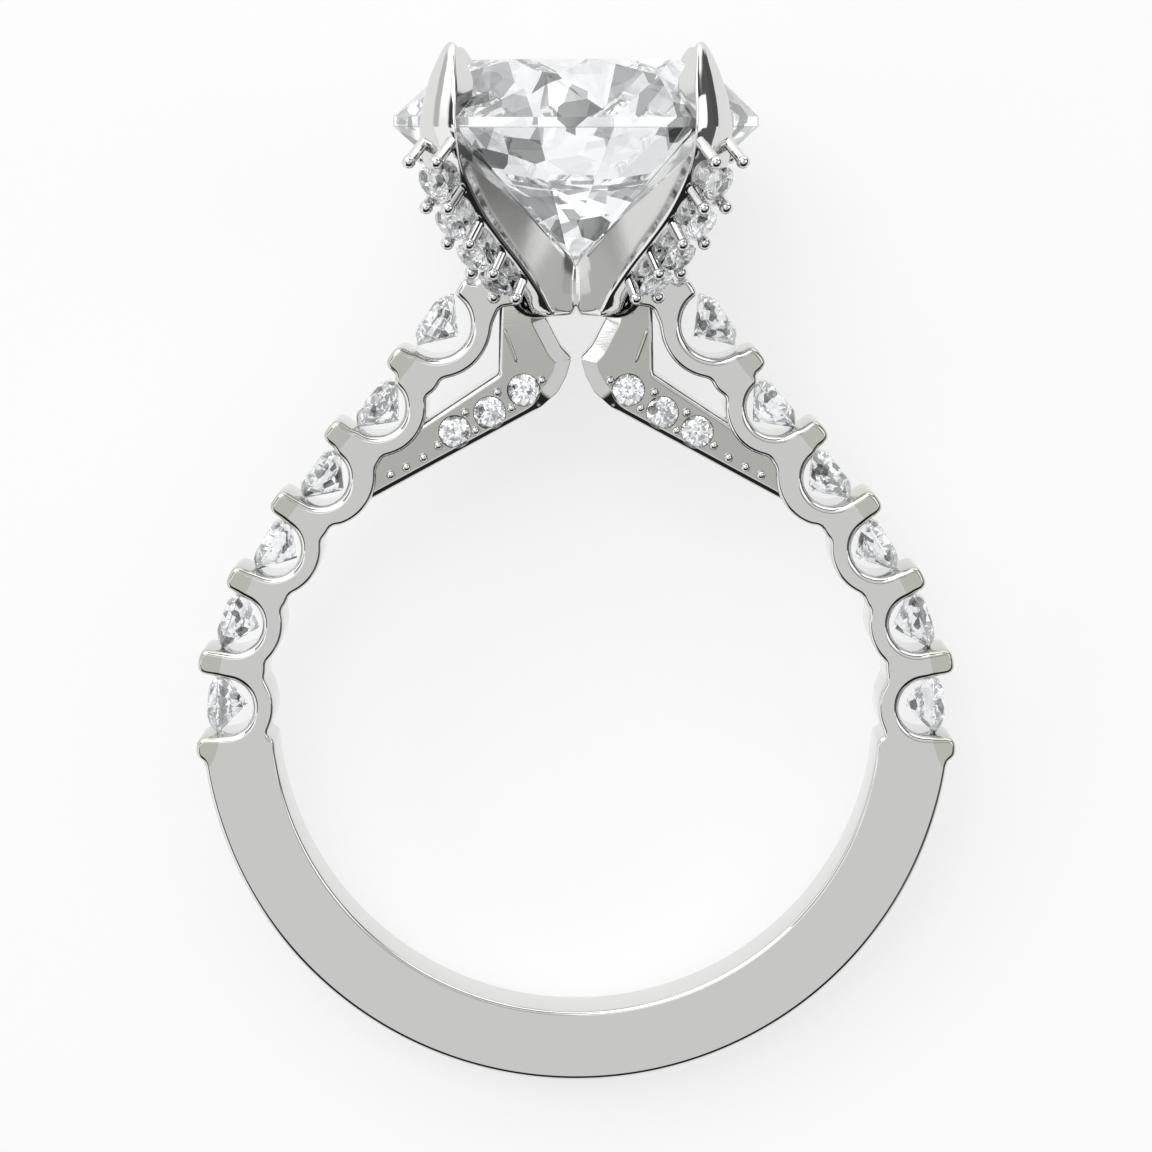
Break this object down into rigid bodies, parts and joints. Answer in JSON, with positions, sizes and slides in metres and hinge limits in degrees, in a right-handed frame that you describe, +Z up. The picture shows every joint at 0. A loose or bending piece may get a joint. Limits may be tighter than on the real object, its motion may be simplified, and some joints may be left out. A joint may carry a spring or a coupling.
{
  "type": "cathedral setting ring",
  "caption": "Cathedral setting ring: a large round brilliant in stone-set claws above shoulders of open U cups that hold small brilliants, with short pointed bridge bars beneath the head.",
  "frame": {"origin": "centre of the bounding box at the surface that the ring lies on", "axes": "+X to the wearer's side of the band, +Y towards the head, +Z up from the surface, close to the finger hole's axis"},
  "size_m": [0.0208, 0.0288, 0.0097],
  "materials": {
    "white_gold": "polished",
    "diamond": "faceted"
  },
  "bodies": {
    "root": {"ring_mount": "white_gold", "centre_stone": "diamond", "shoulder_stone_left_1": "diamond", "shoulder_stone_left_2": "diamond", "shoulder_stone_left_3": "diamond", "shoulder_stone_left_4": "diamond", "shoulder_stone_left_5": "diamond", "shoulder_stone_left_6": "diamond", "shoulder_stone_right_1": "diamond", "shoulder_stone_right_2": "diamond", "shoulder_stone_right_3": "diamond", "shoulder_stone_right_4": "diamond", "shoulder_stone_right_5": "diamond", "shoulder_stone_right_6": "diamond", "claw_stone_front_left_1": "diamond", "claw_stone_front_left_2": "diamond", "claw_stone_front_left_3": "diamond", "claw_stone_front_left_4": "diamond", "claw_stone_front_right_1": "diamond", "claw_stone_front_right_2": "diamond", "claw_stone_front_right_3": "diamond", "claw_stone_front_right_4": "diamond", "claw_stone_back_right_1": "diamond", "claw_stone_back_right_2": "diamond", "claw_stone_back_right_3": "diamond", "claw_stone_back_right_4": "diamond", "claw_stone_back_left_1": "diamond", "claw_stone_back_left_2": "diamond", "claw_stone_back_left_3": "diamond", "claw_stone_back_left_4": "diamond", "bridge_stone_front_left_1": "diamond", "bridge_stone_front_left_2": "diamond", "bridge_stone_front_left_3": "diamond", "bridge_stone_front_right_1": "diamond", "bridge_stone_front_right_2": "diamond", "bridge_stone_front_right_3": "diamond", "bridge_stone_back_left_1": "diamond", "bridge_stone_back_left_2": "diamond", "bridge_stone_back_left_3": "diamond", "bridge_stone_back_right_1": "diamond", "bridge_stone_back_right_2": "diamond", "bridge_stone_back_right_3": "diamond"}
  },
  "joints": []
}
